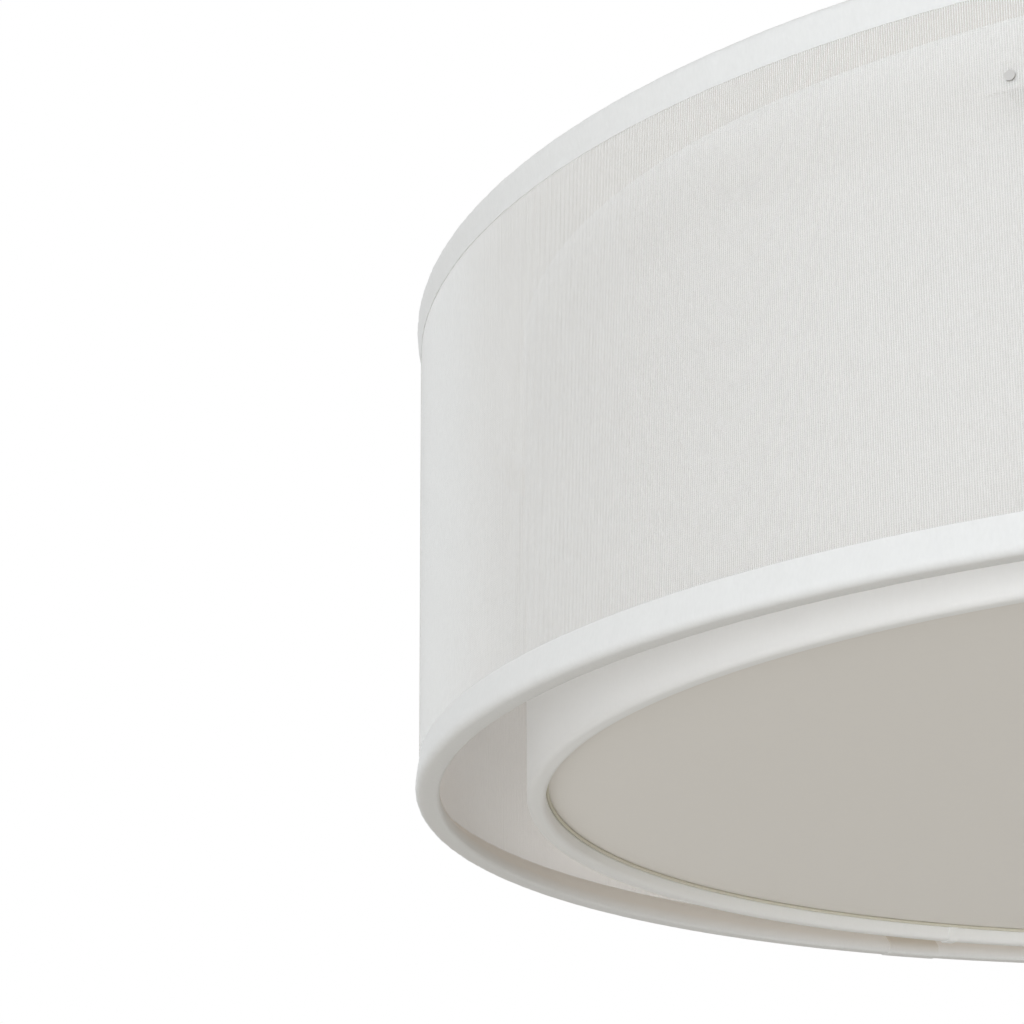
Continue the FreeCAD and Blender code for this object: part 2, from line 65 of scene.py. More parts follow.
# %% Radii and heights of the drums
def reach(node):
    """Radius, lowest and highest height of a round node on the lamp's axis."""
    low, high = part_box(node)
    return high.x, low.z, high.z


sheer_r, sheer_low, sheer_high = reach("outer_cloth")
hem_r, base_z, hem_top = reach("outer_bottom_hem")
inner_r, inner_low, inner_high = reach("inner_cloth")
disc_low = reach("diffuser")[1]
top_z = reach("outer_top_hem")[2]
hem_height = hem_top - base_z
print(f"outer drum {sheer_r:.4f}, inner drum {inner_r:.4f}, disc at {disc_low:.4f}")
print(f"drums from {base_z:.4f} to {top_z:.4f}")

# %% [markdown]
# ## Camera
#
# The photograph was taken from below and in front, with a long lens turned up and to the left, so that only
# part of the lamp is in the frame. The lens, the place and the three turns come from fitting the drum's
# rims in the picture. A camera could also be aimed at a target, but three plain turns keep the slight roll
# that the picture has.

# %% The photograph's camera
PHOTO_PX = 1024
SENSOR_MM = 36
LENS_PX = 3238.94
CAMERA_BACK = 1.024794
CAMERA_DROP = 0.221869
TURN_LEFT = 0.27195
TURN_UP = 0.31040
ROLL = -0.00436

bpy.ops.object.select_all(action="DESELECT")
place = Matrix.Translation((0, -CAMERA_BACK, base_z - CAMERA_DROP))
aim = Matrix.Rotation(TURN_LEFT, 4, "Z")
aim = aim @ Matrix.Rotation(math.pi / 2 + TURN_UP, 4, "X")
aim = aim @ Matrix.Rotation(ROLL, 4, "Z")
bpy.ops.object.camera_add()
camera = bpy.context.object
camera.matrix_world = place @ aim
camera.data.sensor_width = SENSOR_MM
camera.data.lens = LENS_PX / PHOTO_PX * camera.data.sensor_width
scene.camera = camera
print("lens", round(camera.data.lens, 2), "at", tuple(round(v, 3) for v in camera.location))

# %% [markdown]
# ## Nodes
#
# The room and the finishes are built from nodes. A few helpers keep that short. Most of them give back the
# socket that the next node needs.


# %% Node helpers
def link(tree, source, target):
    """Join two sockets of a node tree."""
    tree.links.new(source, target)


def math_node(tree, operation, first, second=0.0):
    """A Math node fed by sockets or plain numbers; returns its output."""
    node = tree.nodes.new("ShaderNodeMath")
    node.operation = operation
    for socket, value in zip(node.inputs, (first, second)):
        if isinstance(value, bpy.types.NodeSocket):
            link(tree, value, socket)
        else:
            socket.default_value = value
    return node.outputs[0]


def seen_directly(tree):
    """The Light Path node, and 1 for a look from the camera, a mirror or glass, 0 for other light."""
    path = tree.nodes.new("ShaderNodeLightPath")
    seen = math_node(tree, "MAXIMUM", path.outputs["Is Camera Ray"], path.outputs["Is Glossy Ray"])
    return path, math_node(tree, "MAXIMUM", seen, path.outputs["Is Transmission Ray"])


def background(tree, colour):
    """Plain light of one colour from all round."""
    node = tree.nodes.new("ShaderNodeBackground")
    node.inputs["Color"].default_value = colour
    return node.outputs[0]


def mix_shaders(tree, factor, first, second):
    """The first shader where the factor is 0, and the second where it is 1."""
    node = tree.nodes.new("ShaderNodeMixShader")
    link(tree, factor, node.inputs["Fac"])
    link(tree, first, node.inputs[1])
    link(tree, second, node.inputs[2])
    return node.outputs[0]


# %% [markdown]
# ## Room
#
# The lamp hangs in an even grey room with a pale floor well below it. The room's light is grey, but the
# camera, mirrors and glass see white in its place, as in a cut-out picture. A look through the sheer cloth
# meets the grey room and not the white, which is why the cloth's bare upper strip is darker than the strip
# with the inner drum behind it. Transparent Depth counts the cloth layers that a look has gone through.

# %% World
ROOM_LIGHT = (0.455, 0.435, 0.40, 1)
BEHIND_CLOTH = (0.59, 0.57, 0.535, 1)
WHITE = (1, 1, 1, 1)
HALF_A_LAYER = 0.5

world = bpy.data.worlds.new("room")
scene.world = world
world.use_nodes = True
tree = world.node_tree
tree.nodes.clear()
path, seen = seen_directly(tree)
bare = math_node(tree, "LESS_THAN", path.outputs["Transparent Depth"], HALF_A_LAYER)
shown = mix_shaders(tree, bare, background(tree, BEHIND_CLOTH), background(tree, WHITE))
output = tree.nodes.new("ShaderNodeOutputWorld")
link(tree, mix_shaders(tree, seen, background(tree, ROOM_LIGHT), shown), output.inputs["Surface"])
print("world", ROOM_LIGHT[:3])

# %% [markdown]
# The floor is warm and pale, so it sends a warm light up to the undersides, which is what tints the disc in
# the photograph. Seen from above, most of it is plain white, and the part that is left shows the lamp's
# soft shadow.

# %% Floor
FLOOR_Z = -2.1
FLOOR_SIZE = 40.0
FLOOR_COLOUR = (0.58, 0.555, 0.515, 1)
FLOOR_WHITE = 0.96
FLOOR_ROUGHNESS = 0.9

bpy.ops.object.select_all(action="DESELECT")
bpy.ops.mesh.primitive_plane_add(size=FLOOR_SIZE, location=(0, 0, FLOOR_Z))
floor = bpy.context.object
floor.name = "floor"
paint = bpy.data.materials.new("floor_paint")
paint.use_nodes = True
tree = paint.node_tree
surface = tree.nodes["Principled BSDF"]
surface.inputs["Base Color"].default_value = FLOOR_COLOUR
surface.inputs["Roughness"].default_value = FLOOR_ROUGHNESS
white = tree.nodes.new("ShaderNodeEmission")
seen = seen_directly(tree)[1]
share = math_node(tree, "MULTIPLY", seen, FLOOR_WHITE)
whitened = mix_shaders(tree, share, surface.outputs[0], white.outputs[0])
link(tree, whitened, tree.nodes["Material Output"].inputs["Surface"])
floor.data.materials.append(paint)
print("floor at", FLOOR_Z)

# %% [markdown]
# Four wide soft lamps stand round the object, above it, so the drum's wall is lit softly all the way round
# and its underside mostly by the floor. A smaller fill stands low behind the camera and does much of the
# front's work, because the photograph is bright on the near hem and on the strip of the inner drum that
# shows below it.

# %% Soft lamps
LAMP_DISTANCE = 3.6
LAMP_Z = 0.7
LAMP_SIZE = 2.4
LAMP_COLOUR = (0.83, 0.91, 1.0)
FILL_COLOUR = (0.92, 0.96, 1.0)
LAMPS = (
    ("front_right", -55, 16),
    ("front", -118, 31),
    ("back_left", 138, 43),
    ("back_right", 28, 56),
)
FILL_ANGLE = -92
FILL_Z = -1.4
FILL_SIZE = 1.2
FILL_POWER = 52


def soft_lamp(name, angle, height, size, power, colour):
    """A square lamp at an angle round the object, aimed at the middle of the drums."""
    turn = math.radians(angle)
    spot = Vector((LAMP_DISTANCE * math.cos(turn), LAMP_DISTANCE * math.sin(turn), height))
    bpy.ops.object.light_add(type="AREA", location=spot)
    lamp = bpy.context.object
    lamp.name = name
    lamp.data.size = size
    lamp.data.energy = power
    lamp.data.color = colour
    middle = Vector((0, 0, (base_z + top_z) / 2))
    lamp.rotation_euler = (middle - spot).to_track_quat("-Z", "Y").to_euler()
    lamp.visible_camera = False


for name, angle, power in LAMPS:
    soft_lamp(name, angle, LAMP_Z, LAMP_SIZE, power, LAMP_COLOUR)
soft_lamp("fill", FILL_ANGLE, FILL_Z, FILL_SIZE, FILL_POWER, FILL_COLOUR)
print("lamps", [name for name, angle, power in LAMPS] + ["fill"])

# %% [markdown]
# ## Turned cloth
#
# Hems and rolls are the same all the way round, so each is traced once as an outline in radius and height,
# and spun about the lamp's axis. The outline starts as a plane merged to one point, and each further point
# is an extrusion, as a maker would draw it by hand.


# %% Outline helpers
WELD = 1e-6
SMOOTH = math.radians(45)
SEED_SIZE = 0.001


def start_piece():
    """Leave edit mode with nothing selected, so that the next tool acts on its own piece only."""
    if bpy.context.mode != "OBJECT":
        bpy.ops.object.mode_set(mode="OBJECT")
    bpy.ops.object.select_all(action="DESELECT")


def arc(centre, radius, start, turn, count):
    """Points round a circle in radius and height; angles are in degrees from the outward side."""
    angles = [math.radians(start + turn * n / count) for n in range(count + 1)]
    return [(centre[0] + radius * math.cos(a), centre[1] + radius * math.sin(a)) for a in angles]


def eased(start, end, count):
    """Points from start to end that leave and arrive upright, as cloth does that swells over a ring."""
    points = []
    for n in range(1, count):
        t = n / count
        swell = t * t * (3 - 2 * t)
        points.append((start[0] + (end[0] - start[0]) * swell, start[1] + (end[1] - start[1]) * t))
    return points


def trace(name, outline):
    """A new mesh that is one closed line through the outline's points."""
    start_piece()
    radius, height = outline[0]
    bpy.ops.mesh.primitive_plane_add(size=SEED_SIZE, location=(radius, 0, height))
    piece = bpy.context.object
    piece.name = name
    bpy.ops.object.transform_apply()
    bpy.ops.object.mode_set(mode="EDIT")
    bpy.ops.mesh.merge(type="CENTER")
    for here, there in zip(outline, outline[1:] + outline[:1]):
        step = (there[0] - here[0], 0, there[1] - here[1])
        bpy.ops.mesh.extrude_region_move(TRANSFORM_OT_translate={"value": step})
    bpy.ops.mesh.select_all(action="SELECT")
    bpy.ops.mesh.remove_doubles(threshold=WELD)
    return piece


def finish_mesh(piece):
    """Weld what meets, turn the faces outwards and smooth the soft edges."""
    bpy.ops.mesh.select_all(action="SELECT")
    bpy.ops.mesh.remove_doubles(threshold=WELD)
    bpy.ops.mesh.normals_make_consistent(inside=False)
    bpy.ops.object.mode_set(mode="OBJECT")
    bpy.ops.object.shade_smooth_by_angle(angle=SMOOTH)
    print(piece.name, len(piece.data.polygons), "faces")


def turned(name, outline, steps):
    """The outline spun once round the lamp's axis."""
    piece = trace(name, outline)
    bpy.ops.object.mode_set(mode="OBJECT")
    screw = piece.modifiers.new("turn", "SCREW")
    screw.steps = steps
    screw.render_steps = steps
    screw.use_merge_vertices = True
    screw.merge_threshold = WELD
    bpy.ops.object.modifier_apply(modifier=screw.name)
    bpy.ops.object.mode_set(mode="EDIT")
    finish_mesh(piece)
    return piece


# %% [markdown]
# ## Outer hems
#
# The sheer's edge is wrapped in a tape that goes round a wire ring and back to the wall inside. The tape
# starts flush with the wall and swells over the ring, so the drum's outline bulges by a millimetre at each
# edge. The same outline, turned upside down, makes the upper hem. Sewn tape is never quite even: the points
# are moved a few hundredths of a millimetre in and out as they go round, which gives the faint upright
# gathers of the photograph.

# %% Hem outline
TAPE_T = 0.0002
HEM_SWELL = 0.0006
HEM_ROLL_T = 0.0074
OUTER_FOLD_R = 0.0024
INNER_FOLD_R = 0.0011
LEG_FOOT_H = 0.0036
SHEER_T = 0.0005
HEM_STEPS = 1440
OUTER_FOLD_STEPS = 9
INNER_FOLD_STEPS = 7
SWELL_STEPS = 7
GATHERS = (
    (61, 0.000030, 0.3),
    (113, 0.000034, 1.9),
    (197, 0.000032, 4.1),
    (283, 0.000026, 2.2),
    (421, 0.000018, 5.0),
)


def hem_outline(edge_z, up):
    """Tape over the ring: up is 1 for a lower edge and -1 for an upper one."""
    outer = (hem_r + HEM_SWELL - OUTER_FOLD_R, edge_z + up * OUTER_FOLD_R)
    inner = (hem_r + HEM_SWELL - HEM_ROLL_T + INNER_FOLD_R, edge_z + up * INNER_FOLD_R)
    tape_edge = (sheer_r - TAPE_T / 2, edge_z + up * hem_height)
    tape_face = (sheer_r + TAPE_T / 2, edge_z + up * (hem_height - TAPE_T / 3))
    leg_foot = (inner[0] - INNER_FOLD_R, edge_z + up * LEG_FOOT_H)
    inner_end = (sheer_r - SHEER_T - TAPE_T, edge_z + up * (hem_height - 2 * TAPE_T))
    outer_fold = arc(outer, OUTER_FOLD_R, 0, -up * 90, OUTER_FOLD_STEPS)
    inner_fold = arc(inner, INNER_FOLD_R, -up * 90, -up * 90, INNER_FOLD_STEPS)
    return [
        tape_edge,
        tape_face,
        *eased(tape_face, outer_fold[0], SWELL_STEPS),
        *outer_fold,
        *inner_fold,
        leg_foot,
        inner_end,
    ]


def gather(piece, waves):
    """Move a round piece's points in and out as they go round it."""
    for point in piece.data.vertices:
        angle = math.atan2(point.co.y, point.co.x)
        radius = math.hypot(point.co.x, point.co.y)
        scale = 1 + sum(size * math.sin(count * angle + phase) for count, size, phase in waves) / radius
        point.co.x *= scale
        point.co.y *= scale


# %% Outer hems
bottom_hem = turned("bottom_hem", hem_outline(base_z, 1), HEM_STEPS)
gather(bottom_hem, GATHERS)
top_hem = turned("top_hem", hem_outline(top_z, -1), HEM_STEPS)
gather(top_hem, GATHERS)

# %% [markdown]
# ## Sheer wall
#
# The wall is one length of sheer cloth stretched between the two hems and joined by an upright overlap at
# the back left. A cylinder without ends is cut into rows and given its thickness by Solidify.

# %% Sheet helpers
WALL_STEPS = 720
WALL_ROWS = 15
UPRIGHT_RISE = 1e-4


def cloth_tube(name, radius, low, high):
    """An open cylinder of cloth, left in edit mode with all of it selected."""
    start_piece()
    bpy.ops.mesh.primitive_cylinder_add(
        vertices=WALL_STEPS,
        radius=radius,
        depth=high - low,
        end_fill_type="NOTHING",
        location=(0, 0, (low + high) / 2),
    )
    piece = bpy.context.object
    piece.name = name
    bpy.ops.object.transform_apply()
    bpy.ops.object.mode_set(mode="EDIT")
    return piece


def cut_rows(piece, rows):
    """Divide the upright edges into rows."""
    bpy.ops.mesh.select_all(action="DESELECT")
    bpy.ops.mesh.select_mode(type="EDGE")
    bpy.ops.object.mode_set(mode="OBJECT")
    points = piece.data.vertices
    for edge in piece.data.edges:
        first, second = (points[n].co.z for n in edge.vertices)
        edge.select = abs(first - second) > UPRIGHT_RISE
    bpy.ops.object.mode_set(mode="EDIT")
    bpy.ops.mesh.subdivide(number_cuts=rows - 1)
    bpy.ops.mesh.select_mode(type="VERT")
    bpy.ops.object.mode_set(mode="OBJECT")


def thicken(piece, thickness):
    """Give a sheet its thickness, inwards from its face."""
    solid = piece.modifiers.new("thickness", "SOLIDIFY")
    solid.thickness = thickness
    solid.offset = -1
    bpy.ops.object.modifier_apply(modifier=solid.name)
    bpy.ops.object.shade_smooth_by_angle(angle=SMOOTH)
    print(piece.name, len(piece.data.polygons), "faces")


# %% Sheer cloth
sheer_wall = cloth_tube("sheer_wall", sheer_r, sheer_low, sheer_high)
cut_rows(sheer_wall, WALL_ROWS)
thicken(sheer_wall, SHEER_T)

# %% [markdown]
# Upright threads are what one sees of the sheer. They are real threads here: one thin six-sided thread,
# copied round the drum between the faint faces of the sheet. Seen straight on there are gaps between them,
# and towards the drum's edge they close up, as they do in the photograph, which a flat transparency can't
# give. Each thread is shifted by a hair, so that the gaps differ a little.

# %% One upright thread
THREAD_D = 0.00025
THREAD_SIDES = 6
THREAD_SMOOTH = math.radians(75)
THREAD_TUCK = 0.004

start_piece()
thread_low, thread_high = base_z + THREAD_TUCK, top_z - THREAD_TUCK
bpy.ops.mesh.primitive_cylinder_add(
    vertices=THREAD_SIDES,
    radius=THREAD_D / 2,
    depth=thread_high - thread_low,
    location=(sheer_r - SHEER_T / 2, 0, (thread_low + thread_high) / 2),
)
upright_threads = bpy.context.object
upright_threads.name = "upright_threads"
bpy.ops.object.transform_apply()
bpy.ops.object.shade_smooth_by_angle(angle=THREAD_SMOOTH)
print("thread", round(thread_high - thread_low, 4), "long")

# %% Threads round the drum
THREADS = 2773
SHIFTS = ((709, 0.000008, 2.6), (1171, 0.00001, 4.4), (1913, 0.00001, 1.2))

thread_step = 2 * math.pi / THREADS
bpy.ops.object.empty_add(rotation=(0, 0, thread_step))
one_step = bpy.context.object
start_piece()
upright_threads.select_set(True)
bpy.context.view_layer.objects.active = upright_threads
copies = upright_threads.modifiers.new("round_the_drum", "ARRAY")
copies.count = THREADS
copies.use_relative_offset = False
copies.use_object_offset = True
copies.offset_object = one_step
bpy.ops.object.modifier_apply(modifier=copies.name)
bpy.data.objects.remove(one_step)
for point in upright_threads.data.vertices:
    angle = math.atan2(point.co.y, point.co.x)
    nearest = round(angle / thread_step) * thread_step
    shift = sum(size * math.sin(count * nearest + phase) for count, size, phase in SHIFTS)
    point.co = Matrix.Rotation(shift / sheer_r, 3, "Z") @ point.co
print(upright_threads.name, len(upright_threads.data.polygons), "faces")

# %% [markdown]
# The sheer's ends overlap at the back left. The overlap is a strip of a second cylinder, just inside the
# first: its faces further round are deleted.

# %% Overlap of the sheer
SEAM_ANGLE = 129.0
SEAM_W = 0.022

sheer_seam = cloth_tube("sheer_seam", sheer_r - SHEER_T, base_z + hem_height, top_z - hem_height)
bpy.ops.mesh.select_mode(type="FACE")
bpy.ops.object.mode_set(mode="OBJECT")
reach_angle = math.degrees(SEAM_W / 2 / sheer_r)
for face in sheer_seam.data.polygons:
    angle = math.degrees(math.atan2(face.center.y, face.center.x))
    face.select = abs(angle - SEAM_ANGLE) > reach_angle
bpy.ops.object.mode_set(mode="EDIT")
bpy.ops.mesh.delete(type="FACE")
bpy.ops.mesh.select_mode(type="VERT")
bpy.ops.object.mode_set(mode="OBJECT")
thicken(sheer_seam, SHEER_T)

# %% [markdown]
# ## Inner drum
#
# The inner cloth is plain and close. It has no tape: it is folded in round a wire ring at each edge, with
# tight corners, so the wall runs straight into the fold. The outline goes down the wall's face, round the
# lower ring, back up the wall's inner face, and round the upper ring, and is spun like the hems.

# %% Folded edges
CLOTH_T = 0.00045
ROLL_FOLD_R = 0.0018
ROLL_END_R = 0.0016
ROLL_STEPS = 6
INNER_STEPS = 720
WALL_POINTS = 8

roll_t = disc_low - inner_low


def straight(start, end, count):
    """Points between start and end, without the ends."""
    steps = [n / count for n in range(1, count)]
    return [(start[0] + (end[0] - start[0]) * t, start[1] + (end[1] - start[1]) * t) for t in steps]


def folded_edge(edge_z, up, inset):
    """The wrapped edge from the wall's face round to the cloth's end; up is 1 for the lower edge."""
    fold_r = ROLL_FOLD_R - inset
    out_r, in_r = inner_r - ROLL_FOLD_R, inner_r - roll_t + ROLL_FOLD_R
    low, high = edge_z + up * ROLL_FOLD_R, edge_z + up * (roll_t - ROLL_FOLD_R)
    return [
        *arc((out_r, low), fold_r, 0, -up * 90, ROLL_STEPS),
        *arc((in_r, low), fold_r, -up * 90, -up * 90, ROLL_STEPS),
        *arc((in_r, high), fold_r, -up * 180, -up * 90, ROLL_STEPS),
        (inner_r - ROLL_END_R, edge_z + up * (roll_t - inset)),
    ]


# %% Inner cloth
lower_face = folded_edge(inner_low, 1, 0)
upper_face = folded_edge(inner_high, -1, 0)
lower_back = folded_edge(inner_low, 1, CLOTH_T)
upper_back = folded_edge(inner_high, -1, CLOTH_T)
inner_outline = [
    *reversed(upper_face),
    *straight(upper_face[0], lower_face[0], WALL_POINTS),
    *lower_face,
    *reversed(lower_back),
    *straight(lower_back[0], upper_back[0], WALL_POINTS),
    *upper_back,
]
inner_wall = turned("inner_wall", inner_outline, INNER_STEPS)

# %% [markdown]
# The disc lies on the lower fold. A thin bead fills the corner between them. Its dark olive colour is painted
# shade: it stands in for the shadow in that crevice, the olive line round the disc. It is a round outline
# that touches the disc and the fold's rounded corner.

# %% Painted shade bead under the disc
BEAD_R = 0.0006
BEAD_SIDES = 12

bead_r = inner_r - roll_t + ROLL_FOLD_R - 2 * math.sqrt(ROLL_FOLD_R * BEAD_R)
bead_outline = arc((bead_r, disc_low - BEAD_R), BEAD_R, 0, 360, BEAD_SIDES)[:-1]
disc_shade_bead = turned("disc_shade_bead", bead_outline, INNER_STEPS)

# %% [markdown]
# ## Joints
#
# Each tape and the inner cloth meet end to end at the back left, with a short overlap that stands a hair
# proud. An overlap is the same outline turned through a few degrees only, closed at both ends, and turned
# to its place. The one on the lower fold is a pleat that stands out over the bead and breaks the olive
# line, as in the photograph.

# %% Overlap helpers
OVERLAP_STEPS = 8


def overlap(name, outline, angle, width):
    """The outline turned through an arc of the given width, centred on an angle in degrees."""
    piece = trace(name, outline)
    bpy.ops.object.mode_set(mode="OBJECT")
    sweep = width / outline[0][0]
    screw = piece.modifiers.new("turn", "SCREW")
    screw.angle = sweep
    screw.steps = OVERLAP_STEPS
    screw.render_steps = OVERLAP_STEPS
    bpy.ops.object.modifier_apply(modifier=screw.name)
    piece.rotation_euler.z = math.radians(angle) - sweep / 2
    bpy.ops.object.transform_apply()
    bpy.ops.object.mode_set(mode="EDIT")
    bpy.ops.mesh.select_all(action="SELECT")
    bpy.ops.mesh.fill_holes(sides=0)
    finish_mesh(piece)
    return piece


def grown(outline, amount):
    """The outline with every point moved outwards from the outline's middle by an amount."""
    middle = [sum(values) / len(outline) for values in zip(*outline)]
    moved = []
    for point in outline:
        moved.append(tuple(v + math.copysign(amount, v - m) for v, m in zip(point, middle)))
    return moved


# %% Overlaps at the back left
OVERLAP_PROUD = 0.00025
PLEAT_PROUD = 0.0005
INNER_OVERLAP_W = 0.004
INNER_OVERLAP_ANGLE = 129.4

lower_hem = grown(hem_outline(base_z, 1), OVERLAP_PROUD)
upper_hem = grown(hem_outline(top_z, -1), OVERLAP_PROUD)
pleat = grown(lower_face + lower_back[::-1], PLEAT_PROUD)
pleat = [(radius, min(height, disc_low)) for radius, height in pleat]
upper_cuff = grown(upper_face + upper_back[::-1], OVERLAP_PROUD)
overlaps = [
    overlap("bottom_hem_overlap", lower_hem, SEAM_ANGLE, SEAM_W),
    overlap("top_hem_overlap", upper_hem, SEAM_ANGLE, SEAM_W),
    overlap("lower_roll_overlap", pleat, INNER_OVERLAP_ANGLE, INNER_OVERLAP_W),
    overlap("upper_roll_overlap", upper_cuff, INNER_OVERLAP_ANGLE, INNER_OVERLAP_W),
]

# %% [markdown]
# ## Finishes
#
# Each finish is a Principled surface with its own grain. What several finishes share is built once as a
# node group: the threads of the cloth, the painted warm shade on the inner side of the outer drum, a fine
# speckle for paint and plastic, and turned lines for plated metal.


# %% Node group helpers
def new_group(name, inputs, outputs):
    """A node group with number sockets; inputs are (name, value) pairs."""
    group = bpy.data.node_groups.new(name, "ShaderNodeTree")
    for label, value in inputs:
        socket = group.interface.new_socket(label, in_out="INPUT", socket_type="NodeSocketFloat")
        socket.default_value = value
    for label in outputs:
        group.interface.new_socket(label, in_out="OUTPUT", socket_type="NodeSocketFloat")
    return group, group.nodes.new("NodeGroupInput"), group.nodes.new("NodeGroupOutput")


def noise_on_object(tree, stretch, scale, detail=2.0):
    """The coordinates node and noise on it, stretched along the axes; scale is in cells per metre."""
    coordinates = tree.nodes.new("ShaderNodeTexCoord")
    mapping = tree.nodes.new("ShaderNodeMapping")
    mapping.inputs["Scale"].default_value = stretch
    noise = tree.nodes.new("ShaderNodeTexNoise")
    noise.inputs["Detail"].default_value = detail
    link(tree, coordinates.outputs["Object"], mapping.inputs["Vector"])
    link(tree, mapping.outputs[0], noise.inputs["Vector"])
    if isinstance(scale, bpy.types.NodeSocket):
        link(tree, scale, noise.inputs["Scale"])
    else:
        noise.inputs["Scale"].default_value = scale
    return coordinates, noise.outputs["Fac"]


# %% [markdown]
# The cloth's group gives two values. The slubs are short uneven lengths of thread, made by noise that is
# drawn out upwards. The cross threads are a plain wave in height.

# %% Threads of the drums
SLUB_STRETCH = (1, 1, 0.4)
SLUB_CELLS = 1100.0
CROSS_PITCH = 0.0006

threads, given, made = new_group("drum_threads", [("Cross Pitch", CROSS_PITCH)], ["Cross", "Slub"])
coordinates, slub = noise_on_object(threads, SLUB_STRETCH, SLUB_CELLS)
split = threads.nodes.new("ShaderNodeSeparateXYZ")
link(threads, coordinates.outputs["Object"], split.inputs[0])
rise = math_node(threads, "DIVIDE", split.outputs["Z"], given.outputs["Cross Pitch"])
turn = math_node(threads, "COSINE", math_node(threads, "MULTIPLY", rise, 2 * math.pi))
cross = math_node(threads, "MULTIPLY_ADD", turn, 0.5)
cross.node.inputs[2].default_value = 0.5
link(threads, cross, made.inputs["Cross"])
link(threads, slub, made.inputs["Slub"])
print("group", threads.name)

# %% [markdown]
# The outer drum's cloth is painted warmer and darker on its inner side, where it looks brownest. This is
# painted shade that stands in for the dim warm light inside the drum. The mask is 1 on what lies inside the
# wall and away from the drum's two edges.

# %% Painted shade on the inner side of the outer drum
SIDE_FADE = 0.0001
EDGE_FADE = 0.005

inside_painted_shade, given, made = new_group(
    "inside_painted_shade", [("Face Radius", 1.0), ("Edge Low", 0.0), ("Edge High", 1.0)], ["Inside"]
)
coordinates = inside_painted_shade.nodes.new("ShaderNodeTexCoord")
split = inside_painted_shade.nodes.new("ShaderNodeSeparateXYZ")
link(inside_painted_shade, coordinates.outputs["Object"], split.inputs[0])
across, along, height = split.outputs
squares = [math_node(inside_painted_shade, "POWER", side, 2) for side in (across, along)]
radius = math_node(inside_painted_shade, "SQRT", math_node(inside_painted_shade, "ADD", *squares))
inside = None
for high_end, low_end, fade in (
    (given.outputs["Face Radius"], radius, SIDE_FADE),
    (height, given.outputs["Edge Low"], EDGE_FADE),
    (given.outputs["Edge High"], height, EDGE_FADE),
):
    within = math_node(inside_painted_shade, "DIVIDE", math_node(inside_painted_shade, "SUBTRACT", high_end, low_end), fade)
    within.node.use_clamp = True
    inside = math_node(inside_painted_shade, "MULTIPLY", inside, within) if inside else within
link(inside_painted_shade, inside, made.inputs["Inside"])
print("group", inside_painted_shade.name)

# %% [markdown]
# Paint and plastic have an even speckle. On turned metal the noise is pressed together along the axis,
# which draws it out into thin lines that go round.

# %% Speckle and turned lines
SPECKLE_CELLS = 900.0
SPECKLE_DETAIL = 3.0
LINE_CELLS = 120.0
LINE_STRETCH = (1, 1, 28)
LINE_DETAIL = 4.0

speckle, given, made = new_group("speckle", [("Cells", SPECKLE_CELLS)], ["Grain"])
grain = noise_on_object(speckle, (1, 1, 1), given.outputs["Cells"], SPECKLE_DETAIL)[1]
link(speckle, grain, made.inputs["Grain"])

lines, given, made = new_group("turned_lines", [("Cells", LINE_CELLS)], ["Grain"])
grain = noise_on_object(lines, LINE_STRETCH, given.outputs["Cells"], LINE_DETAIL)[1]
link(lines, grain, made.inputs["Grain"])
print("groups", speckle.name, lines.name)

# %% [markdown]
# A finish starts as a plain surface. Its colour, and on plastic, paint and metal its shine, are then mixed
# by the grain of a group, and the same grain raises the surface a little.


# %% Material helpers
def new_finish(name, colour, roughness, metallic=0.0, specular=0.5):
    """A material, its tree and its Principled surface, with the plain values on the surface's own sockets."""
    finish = bpy.data.materials.new(name)
    finish.use_nodes = True
    surface = finish.node_tree.nodes["Principled BSDF"]
    surface.inputs["Base Color"].default_value = (*colour, 1)
    surface.inputs["Roughness"].default_value = roughness
    surface.inputs["Metallic"].default_value = metallic
    surface.inputs["Specular IOR Level"].default_value = specular
    return finish, finish.node_tree, surface


def place_group(tree, group, **values):
    """A group in a material, with values for its inputs; an underscore stands for a space."""
    node = tree.nodes.new("ShaderNodeGroup")
    node.node_tree = group
    for label, value in values.items():
        node.inputs[label.replace("_", " ")].default_value = value
    return node


def between(tree, factor, low, high):
    """Map a 0 to 1 value to a range."""
    node = tree.nodes.new("ShaderNodeMapRange")
    link(tree, factor, node.inputs["Value"])
    node.inputs["To Min"].default_value = low
    node.inputs["To Max"].default_value = high
    return node.outputs["Result"]


def shade_between(tree, factor, dark, light):
    """Mix two colours, plain ones or from a socket, by a 0 to 1 value."""
    node = tree.nodes.new("ShaderNodeMix")
    node.data_type = "RGBA"
    link(tree, factor, node.inputs["Factor"])
    for label, colour in (("A", dark), ("B", light)):
        if isinstance(colour, bpy.types.NodeSocket):
            link(tree, colour, node.inputs[label])
        else:
            node.inputs[label].default_value = (*colour, 1)
    return node.outputs["Result"]


def raise_by(tree, surface, height, distance, strength):
    """Bump the surface by a 0 to 1 height over a distance in metres."""
    bump = tree.nodes.new("ShaderNodeBump")
    bump.inputs["Distance"].default_value = distance
    bump.inputs["Strength"].default_value = strength
    link(tree, height, bump.inputs["Height"])
    link(tree, bump.outputs["Normal"], surface.inputs["Normal"])


# %% [markdown]
# ### Cloth
#
# The sheer's sheet is faint, and the inner drum and the room show through both of its faces. Its cross
# threads vary its low Alpha. The hem is closer cloth, and nothing shows through it. The inner cloth is
# close and fine. Uneven threads, the slubs, vary the colour of each and stand up from its face.

# %% Cloth helper
CLOTH_ROUGHNESS = 0.85
CLOTH_SPECULAR = 0.2
BUMP_STRENGTH = 0.3

finishes = {}


